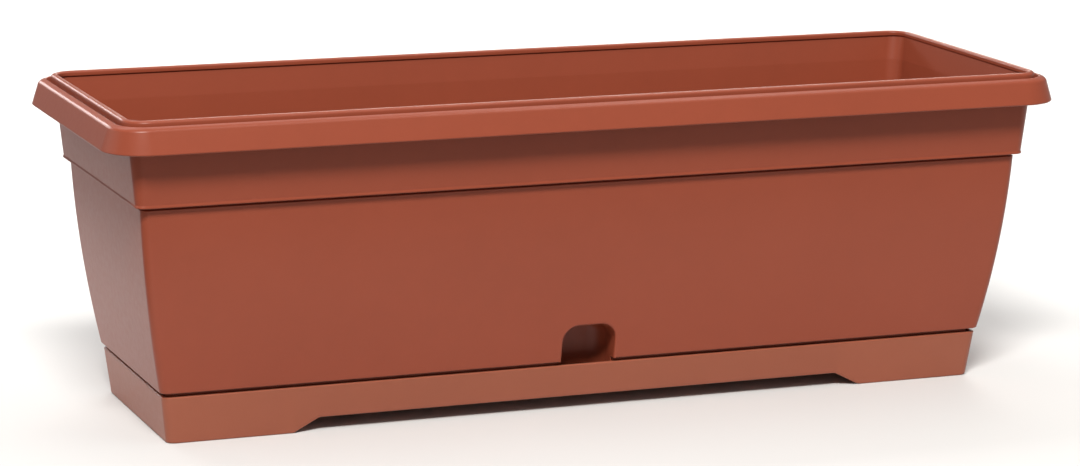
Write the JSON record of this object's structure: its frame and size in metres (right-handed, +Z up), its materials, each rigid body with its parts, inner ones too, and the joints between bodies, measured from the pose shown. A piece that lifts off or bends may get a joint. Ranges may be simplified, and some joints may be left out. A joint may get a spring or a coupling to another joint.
{
  "type": "self watering planter",
  "caption": "Long rectangular self watering planter box with a rolled rim, on a footed water tray, with lift-out soil grids and wicking baskets.",
  "frame": {"origin": "on the ground, below the middle of the planter", "axes": "+X along the length, -Y to the front with the fill recess, +Z up"},
  "size_m": [0.604, 0.212, 0.196],
  "materials": {
    "box_plastic": "terracotta-coloured moulded polypropylene, satin, finely grained",
    "tray_plastic": "terracotta-coloured moulded polypropylene, satin, finely grained",
    "inner_plastic": "black moulded recycled polypropylene, dull"
  },
  "bodies": {
    "tray": {"reservoir_tray": "tray_plastic"},
    "box": {"planter_box": "box_plastic"},
    "grid_left": {"separator_grid_left": "inner_plastic"},
    "grid_right": {"separator_grid_right": "inner_plastic"},
    "basket_left_outer": {"wick_basket_left_outer": "inner_plastic"},
    "basket_left_inner": {"wick_basket_left_inner": "inner_plastic"},
    "basket_right_inner": {"wick_basket_right_inner": "inner_plastic"},
    "basket_right_outer": {"wick_basket_right_outer": "inner_plastic"}
  },
  "joints": [
    {"name": "box_lift", "type": "slide", "parent": "tray", "child": "box", "axis": [0, 0, 1], "range_m": [0, 0.08]},
    {"name": "grid_left_lift", "type": "slide", "parent": "box", "child": "grid_left", "axis": [0, 0, 1], "range_m": [0, 0.2]},
    {"name": "grid_right_lift", "type": "slide", "parent": "box", "child": "grid_right", "axis": [0, 0, 1], "range_m": [0, 0.2]},
    {"name": "basket_left_outer_lift", "type": "slide", "parent": "grid_left", "child": "basket_left_outer", "axis": [0, 0, 1], "range_m": [0, 0.05]},
    {"name": "basket_left_inner_lift", "type": "slide", "parent": "grid_left", "child": "basket_left_inner", "axis": [0, 0, 1], "range_m": [0, 0.05]},
    {"name": "basket_right_inner_lift", "type": "slide", "parent": "grid_right", "child": "basket_right_inner", "axis": [0, 0, 1], "range_m": [0, 0.05]},
    {"name": "basket_right_outer_lift", "type": "slide", "parent": "grid_right", "child": "basket_right_outer", "axis": [0, 0, 1], "range_m": [0, 0.05]}
  ]
}
